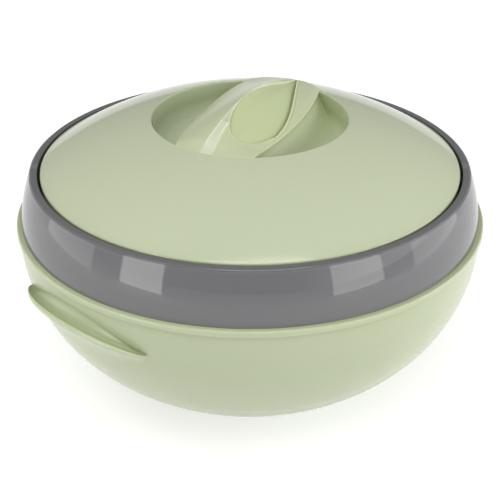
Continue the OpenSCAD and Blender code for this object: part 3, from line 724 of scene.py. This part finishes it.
def flank_z(u, v):
    c, z = u * SKEW, crest_z(u)
    d = v - c
    t = -d / (plain_w(u) + c)
    plain = z * (1 - t) + SWELL * 4 * t * (1 - t)
    band = z - BAND_FALL * z / CREST_H * d / BAND_W
    margin = 0.25 + 0.75 * smooth((v - leaf_middle(u) + 6) / 9) * smooth((u + 46) / 16)
    wide = panel_z(u, v) + PANEL_SINK + margin * np.minimum((right_w(u) - v) / 3, 1)
    step = smooth((d - BAND_W) / 0.9)
    return np.where(d < 0, plain, band * (1 - step) + np.minimum(band, wide) * step)


def strip_edge(u):
    """How far the strip reaches from the crest. It widens towards its tip."""
    return STRIP_W + STRIP_FLARE * (STRIP_AT - u) / 22


def handle_surface(u, v):
    z = sum(flank_z(u, v + k) for k in (-0.4, -0.2, 0.0, 0.2, 0.4)) / 5
    d, edge = v - u * SKEW, strip_edge(u)
    z = z + CREST_BEAD * bump_at(d - 0.3, 0.45)
    strip = smooth((STRIP_AT - u) / 0.9)
    raised = smooth((edge + 0.5 - d) / 0.9) * smooth((d + 0.3) / 0.8)
    z = z + strip * STRIP_PROUD * raised
    z = z + strip * STRIP_EDGE * (bump_at(d - edge + 0.3, 0.5) + bump_at(d - 0.7, 0.5))
    out, right = -leaf_edge(u, v), open_side(u, v)
    bead, groove = bump_at(out - 1.35, 0.45), bump_at(out - 2.25, 0.40)
    z = z + right * (LEAF_BEAD * bead - LEAF_GROOVE * groove)
    sunk = panel_z(u, v) - PANEL_T - POCKET_MORE
    inside = smooth((0.2 + 0.75 * right - out) / 0.7 + 0.5)
    return z + (np.minimum(sunk, z) - z) * inside


def on_turn(u, v, z):
    c, s = cos(HANDLE_TURN), sin(HANDLE_TURN)
    return (u * c + v * s, u * s - v * c, z)


print("strip %.1f mm wide where it starts" % strip_edge(STRIP_AT))

# %% Helpers: grids and bands of faces
def grid_points(u, v, z):
    return [on_turn(*place) for place in zip(u.ravel(), v.ravel(), z.ravel())]


def grid_faces(nu, nv):
    return [(i * nv + j, (i + 1) * nv + j, (i + 1) * nv + j + 1, i * nv + j + 1)
            for i in range(nu - 1) for j in range(nv - 1)]


def grid_edge(nu, nv):
    """The places round the edge of a grid, in order."""
    return ([(i, 0) for i in range(nu)] + [(nu - 1, j) for j in range(1, nv)]
            + [(i, nv - 1) for i in range(nu - 2, -1, -1)] + [(0, j) for j in range(nv - 2, 0, -1)])


def band(upper, lower):
    """The faces between two closed loops of points."""
    n = len(upper)
    return [(upper[(m + 1) % n], upper[m], lower[m], lower[(m + 1) % n]) for m in range(n)]


print("a 3 by 3 grid has", len(grid_edge(3, 3)), "points round its edge")

# %% [markdown]
# The handle's grid is finer towards its ends, which lie on the lid. There the
# height blends into the dome, and the very edge is sunk below it, so that the
# handle grows out of the lid without a gap.

# %% Handle: fine grid
NU, NV = 241, 121
LIFT, BLEND_FROM, BLEND_OVER, EDGE_SUNK = 0.04, WELL_R - 7.5, 9.0, 0.5


def bar_grid(nu, nv):
    q, w = np.linspace(-1, 1, nu)[:, None], np.linspace(-1, 1, nv)[None, :]
    p = np.sin(q * pi / 2) * 0.35 + q * 0.65
    end = np.where(p < 0, FRONT_R, BACK_R)
    half_at_end = np.where(w < 0, left_w(np.sign(p) * end), right_w(np.sign(p) * end))
    u = p * np.sqrt(end**2 - (w * half_at_end) ** 2)
    return u, w * np.where(w < 0, left_w(u), right_w(u))


grid_u, grid_v = bar_grid(NU, NV)
grid_r = np.hypot(grid_u, grid_v)
rest_z = np.sqrt(DOME_R**2 - grid_r**2) - sqrt(DOME_R**2 - WELL_R**2) + LIFT
blend = smooth((grid_r - BLEND_FROM) / BLEND_OVER) * (grid_u < 0)
grid_z = handle_surface(grid_u, grid_v) * (1 - blend) + rest_z * blend
grid_z = np.where(grid_r > WELL_R, np.maximum(grid_z, rest_z), grid_z)
grid_z = grid_z - EDGE_SUNK * smooth(grid_r - WELL_R - 1.0)
bar_points = grid_points(grid_u, grid_v, WELL_Z + grid_z)
bar_faces = grid_faces(NU, NV)
print("handle grid:", len(bar_points), "points")

# %% [markdown]
# The walls go down to the floor of the well in rings. Each ring says how far
# the ends stay inside, how far the leaf's side leans out, how far the plain
# side is tucked in under its edge, and how deep the ring lies. The last rings
# are below the floor.

# %% Handle: walls down to the floor
WALL_RINGS = (
    (0.3, 0.0, 0.0, 0.3), (1.2, 0.0, 0.3, 1.0), (1.9, -0.2, 1.2, 2.0), (1.9, 0.4, 2.6, 3.6),
    (1.9, 1.6, 3.6, 5.4), (1.9, 3.1, 4.2, 7.4), (1.9, 4.8, 4.4, 9.4), (1.9, 6.6, 4.4, 11.4),
    (1.9, 8.6, 4.2, 13.4), (1.9, 10.6, 3.8, 15.0), (1.9, 12.5, 3.2, 16.2), (1.9, 13.1, 3.2, 16.6),
    (1.9, 13.7, 3.2, 17.0),
)
LEAST_STEP = 0.02
edge_i, edge_j = np.array(grid_edge(NU, NV)).T
edge_u, edge_v, level = (g[edge_i, edge_j] for g in (grid_u, grid_v, WELL_Z + grid_z))
sideways = np.abs(edge_v) / right_w(edge_u)
loop = list(edge_i * NV + edge_j)
for ends_in, lean, tuck, depth in WALL_RINGS:
    v = edge_v + np.where(edge_v > 0, lean, tuck) * sideways
    k = np.minimum(1.0, (FRONT_R - ends_in) / np.hypot(edge_u, v))
    level = np.minimum(level - LEAST_STEP, WELL_Z - depth)
    lower = list(range(len(bar_points), len(bar_points) + len(loop)))
    bar_points += grid_points(edge_u * k, v * k, level)
    bar_faces += band(loop, lower)
    loop = lower
bar_faces.append(tuple(loop))
handle_bar = finish_piece("handle", mesh_of(bar_points, bar_faces), "lid", green_handle,
                          ["handle_bar"], 40.0)

# %% [markdown]
# The crest and the glossy strip get a painted highlight. The mesh carries it as
# a value at each point, which the handle's plastic reads as a paler green: half
# on the glossy strip, and along the crest it fades towards the back.

# %% Handle: painted highlight on the crest and the strip
STRIP_HIGHLIGHT, CREST_HIGHLIGHT = 0.5, 0.55
spots = np.array([v.co[:] for v in handle_bar.data.vertices]) / MM
along = spots[:, 0] * cos(HANDLE_TURN) + spots[:, 1] * sin(HANDLE_TURN)
offset = spots[:, 0] * sin(HANDLE_TURN) - spots[:, 1] * cos(HANDLE_TURN) - along * SKEW
on_strip = (smooth((STRIP_AT - 0.2 - along) / 0.6)
            * smooth((strip_edge(along) + 0.3 - offset) / 0.6) * smooth((offset + 0.2) / 0.6))
on_crest = bump_at(offset - 0.4, 0.9) * smooth((44 - along) / 30) * (1 - on_strip)
painted_highlight = handle_bar.data.attributes.new("painted_highlight", "FLOAT", "POINT")
# Painted highlight, half on the strip and fading back along the crest.
highlight_share = STRIP_HIGHLIGHT * on_strip + CREST_HIGHLIGHT * on_crest
painted_highlight.data.foreach_set("value", highlight_share.astype(np.float32))
print("polished share of the handle: %.3f" % float(on_strip.mean()))

# %% [markdown]
# ## Leaf panel
# The panel is a separate thin piece that lies in its pocket. It follows the
# flank with a soft pillow, its edge is rounded over, and a fine groove stays
# open round it, which shows as the dark outline of the leaf.

# %% Leaf panel
NX, NY, TIP = 150, 61, 0.004
ROLL_WIDE, ROLL_CREST, ROLL_OPEN, PILLOW, PILLOW_WIDE = 1.2, 0.08, 0.7, 0.9, 10.0
share = TIP + (1 - 2 * TIP) * np.sin(pi / 2 * np.linspace(0, 1, NX)[:, None]) ** 2
leaf_u = (PANEL_L * share - PANEL_AT) * np.ones((1, NY))
across = np.sin(pi / 2 * np.linspace(-1, 1, NY)[None, :])
leaf_v = leaf_middle(leaf_u) + leaf_half(share) * across
flat_z = WELL_Z + panel_z(leaf_u, leaf_v)
inside = np.maximum(leaf_edge(leaf_u, leaf_v), 0.0)
rounded = 1 - np.sqrt(1 - (1 - np.minimum(inside / ROLL_WIDE, 1.0)) ** 2)
roll = (ROLL_CREST + ROLL_OPEN * open_side(leaf_u, leaf_v)) * rounded
face_z = flat_z - roll + PILLOW * smooth(inside / PILLOW_WIDE)
leaf_points = (grid_points(leaf_u, leaf_v, face_z)
               + grid_points(leaf_u, leaf_v, flat_z - PANEL_T))
below = NX * NY
leaf_faces = grid_faces(NX, NY)
leaf_faces += [tuple(below + k for k in reversed(f)) for f in leaf_faces]
leaf_loop = [i * NY + j for i, j in grid_edge(NX, NY)]
leaf_faces += band(leaf_loop, [below + k for k in leaf_loop])
finish_piece("leaf_panel", mesh_of(leaf_points, leaf_faces), "lid", green_panel,
             ["grip_panel"], 50.0)

# %% [markdown]
# ## Solids that keep their own shape
# The foams, the plugs, the gasket and the screws are hidden or small and their
# solids are right as they are. They only get their materials.

# %% Materials for the other solids
for node, material in (("fill_plug", white_plastic), ("bowl_insulation", foam),
                       ("flange_gasket", soft_seal), ("handle_screws", steel),
                       ("lid_insulation", foam), ("lid_fill_plug", white_plastic)):
    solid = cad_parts[node]
    solid.data.materials.clear()
    solid.data.materials.append(material)
print("dressed the hidden solids")

# %% [markdown]
# ## Studio
# The photograph has a white ground and soft light. The world is white to the
# camera only. To the object it is a dim room that gets brighter low down and
# at the front's two sides, like the walls of a light tent.

# %% World
DIM, LOW_GLOW, LEFT_GLOW, RIGHT_GLOW = 0.12, 0.16, 0.3, 1.4
scene = bpy.context.scene
scene.view_settings.view_transform = "Standard"
world = bpy.data.worlds.new("studio")
scene.world = world
world.use_nodes = True
tree = world.node_tree
tree.nodes.clear()
path = add_node(tree, "ShaderNodeLightPath")
toward_flat = (sin(CAM_AZIMUTH), -cos(CAM_AZIMUTH), 0)
rightward = (cos(CAM_AZIMUTH), sin(CAM_AZIMUTH), 0)
way = add_node(tree, "ShaderNodeTexCoord").outputs["Generated"]


def facing_share(axis):
    """How much the looked-at direction points along an axis, from -1 to 1."""
    node = add_node(tree, "ShaderNodeVectorMath", {0: way, 1: axis}, operation="DOT_PRODUCT")
    return node.outputs["Value"]


def rise(tree, value, low, high):
    return add_node(tree, "ShaderNodeMapRange", {"Value": value, "From Min": low, "From Max": high},
                    interpolation_type="SMOOTHSTEP").outputs["Result"]


def side_glow(towards, strength):
    """A wide soft glow to one side, in the front half of the room only."""
    lit = maths(tree, "MULTIPLY", rise(tree, towards, 0.3, 0.95), facing)
    return maths(tree, "MULTIPLY", lit, strength)


to_front, to_right, up = (facing_share(axis) for axis in (toward_flat, rightward, (0, 0, 1)))
facing = rise(tree, to_front, -0.35, 0.15)
left_glow = side_glow(maths(tree, "MULTIPLY", to_right, -1.0), LEFT_GLOW)
right_glow = side_glow(to_right, RIGHT_GLOW)
low_down = maths(tree, "SUBTRACT", 1.0, rise(tree, maths(tree, "ABSOLUTE", up), 0.0, 0.7))
glow = maths(tree, "ADD", LOW_GLOW, maths(tree, "ADD", left_glow, right_glow))
level = maths(tree, "ADD", DIM, maths(tree, "MULTIPLY", low_down, glow))
fill = add_node(tree, "ShaderNodeBackground", {"Color": WHITE, "Strength": level})
white = add_node(tree, "ShaderNodeBackground", {"Color": WHITE, "Strength": 1.0})
mixed = add_node(tree, "ShaderNodeMixShader",
                 {0: path.outputs["Is Camera Ray"], 1: fill.outputs[0], 2: white.outputs[0]})
tree.links.new(mixed.outputs[0], add_node(tree, "ShaderNodeOutputWorld").inputs["Surface"])
print("world ready:", world.name)

# %% [markdown]
# The floor is matt and almost white. To the camera it also shines a little,
# and more so further off, so that it meets the white ground without a line
# and still keeps the object's shadow. The glossy collar and lid see it bright.

# %% Floor
FLOOR_HALF, FLOOR_TONE = 40, 0.74
SHOWN_NEAR, SHOWN_FAR, NEAR, FAR, MIRRORED = 0.60, 0.45, 0.35, 1.3, 0.62
floor_mesh = bpy.data.meshes.new("floor")
corners = [(x * FLOOR_HALF, y * FLOOR_HALF, 0) for x, y in ((-1, -1), (1, -1), (1, 1), (-1, 1))]
floor_mesh.from_pydata(corners, [], [(0, 1, 2, 3)])
floor = bpy.data.objects.new("floor", floor_mesh)
scene.collection.objects.link(floor)
floor_paint, tree, shader = new_material("white_floor")
shader.inputs["Base Color"].default_value = (FLOOR_TONE, FLOOR_TONE, FLOOR_TONE, 1)
shader.inputs["Roughness"].default_value = 0.9
shader.inputs["Emission Color"].default_value = WHITE
rays = add_node(tree, "ShaderNodeLightPath").outputs
here = add_node(tree, "ShaderNodeTexCoord").outputs["Object"]
distance = add_node(tree, "ShaderNodeVectorMath", {0: here}, operation="LENGTH").outputs["Value"]
far_off = maths(tree, "MULTIPLY", rise(tree, distance, NEAR, FAR), SHOWN_FAR)
shown = maths(tree, "MULTIPLY", rays["Is Camera Ray"], maths(tree, "ADD", SHOWN_NEAR, far_off))
mirrored = maths(tree, "MULTIPLY", rays["Is Glossy Ray"], MIRRORED)
tree.links.new(maths(tree, "ADD", shown, mirrored), shader.inputs["Emission Strength"])
floor_mesh.materials.append(floor_paint)
floor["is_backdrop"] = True
print("floor ready:", floor.name)

# %% [markdown]
# Two window-shaped lamps in front make the reflections that a glossy collar
# shows. Low cards and a panel light the sides, and two large lamps light the
# top. The left one of those stays out of reflections, where it would put a
# bright spot on the lid.

# %% Lamps
def lamp(name, place, aim, width, height, radiance, mirrored=True):
    """A rectangular soft lamp. Its power follows from how bright its face is."""
    data = bpy.data.lights.new(name, "AREA")
    data.shape, data.size, data.size_y = "RECTANGLE", width, height
    data.energy = radiance * pi * width * height
    thing = bpy.data.objects.new(name, data)
    thing.location = place
    thing.rotation_euler = (Vector(aim) - Vector(place)).to_track_quat("-Z", "Y").to_euler()
    thing.visible_glossy = mirrored
    scene.collection.objects.link(thing)


def round_camera(azimuth, distance, z):
    """A place at an angle from the camera's direction, seen from above."""
    a = CAM_AZIMUTH + radians(azimuth)
    return (distance * sin(a), -distance * cos(a), z)


lamp("left_window", (-0.95, 0.05, 0.26), (0, 0.05, 0.26), 0.335, 0.5, 3.6)
lamp("right_window", (0.03, -0.945, 0.26), (0.03, 0, 0.26), 0.405, 0.5, 2.7)
lamp("left_card", round_camera(-88, 0.80, 0.14), (0, 0, 0.14), 0.46, 0.27, 1.15)
lamp("right_card", round_camera(93, 0.80, 0.14), (0, 0, 0.14), 0.50, 0.27, 1.25)
lamp("right_panel", round_camera(85, 0.90, 0.40), (0, 0, 0.15), 0.70, 0.26, 2.2)
lamp("front_top", round_camera(8, 0.60, 1.45), (0, 0, 0.1), 0.9, 0.9, 3.3)
lamp("left_top", round_camera(-90, 0.70, 1.20), (0, 0, 0.1), 0.7, 0.7, 2.5, mirrored=False)

# %% [markdown]
# ## Boxes
# The visual model is meant to stay inside the box of the measured solids, so
# both boxes are printed at the end.

# %% Print the boxes
own_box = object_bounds()
for label, box in (("cad box", cad_box), ("visual box", own_box)):
    print(label, [[round(c, 4) for c in point] for point in box])
